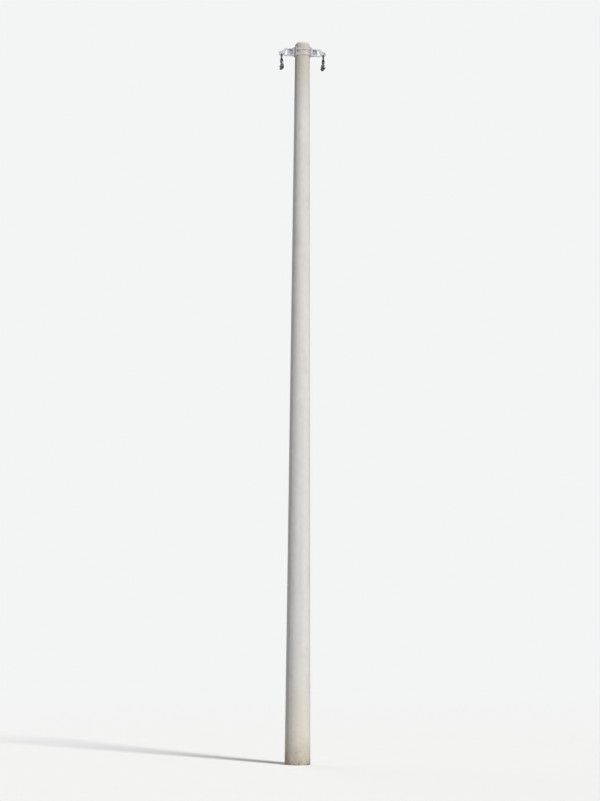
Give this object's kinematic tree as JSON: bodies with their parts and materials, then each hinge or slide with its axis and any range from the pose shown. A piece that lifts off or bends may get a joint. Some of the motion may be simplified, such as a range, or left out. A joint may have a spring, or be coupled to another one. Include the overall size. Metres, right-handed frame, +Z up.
{
  "type": "concrete utility pole",
  "caption": "Round tapered hollow concrete pole with a domed cap and, near its top, strapped-on aluminium brackets either side that carry hanging clamps for an aerial line.",
  "frame": {"origin": "on the pole's axis at ground level", "axes": "+Z up the pole, +X towards the right-hand bracket, +Y along the line"},
  "size_m": [0.487, 0.2598, 7.35],
  "materials": {
    "concrete": "weathered",
    "mortar": "weathered",
    "cast_aluminium": "as cast",
    "strap_steel": "weathered",
    "link_polymer": "weathered",
    "clamp_polymer": "weathered",
    "pin_steel": "satin",
    "bolt_steel": "galvanised"
  },
  "bodies": {
    "pole": {"pole_shaft": "concrete", "pole_cap": "mortar", "upper_strap": "strap_steel", "upper_strap_buckle": "strap_steel", "lower_strap": "strap_steel", "lower_strap_buckle": "strap_steel", "right_bracket": "cast_aluminium", "left_bracket": "cast_aluminium"},
    "right_link": {"right_link": "link_polymer", "right_link_pin": "pin_steel"},
    "right_clamp": {"right_clamp_body": "clamp_polymer", "right_clamp_keeper": "clamp_polymer", "right_clamp_bolt": "bolt_steel", "right_clamp_nut": "bolt_steel"},
    "left_link": {"left_link": "link_polymer", "left_link_pin": "pin_steel"},
    "left_clamp": {"left_clamp_body": "clamp_polymer", "left_clamp_keeper": "clamp_polymer", "left_clamp_bolt": "bolt_steel", "left_clamp_nut": "bolt_steel"}
  },
  "joints": [
    {"name": "right_link_swing", "type": "hinge", "parent": "pole", "child": "right_link", "pos_m": [0.215, 0, 7.226], "axis": [0, -1, 0], "range_deg": [-30, 30]},
    {"name": "right_clamp_tilt", "type": "hinge", "parent": "right_link", "child": "right_clamp", "pos_m": [0.215, 0, 7.158], "axis": [1, 0, 0], "range_deg": [-45, 45]},
    {"name": "left_link_swing", "type": "hinge", "parent": "pole", "child": "left_link", "pos_m": [-0.215, 0, 7.226], "axis": [0, 1, 0], "range_deg": [-30, 30]},
    {"name": "left_clamp_tilt", "type": "hinge", "parent": "left_link", "child": "left_clamp", "pos_m": [-0.215, 0, 7.158], "axis": [1, 0, 0], "range_deg": [-45, 45]}
  ]
}
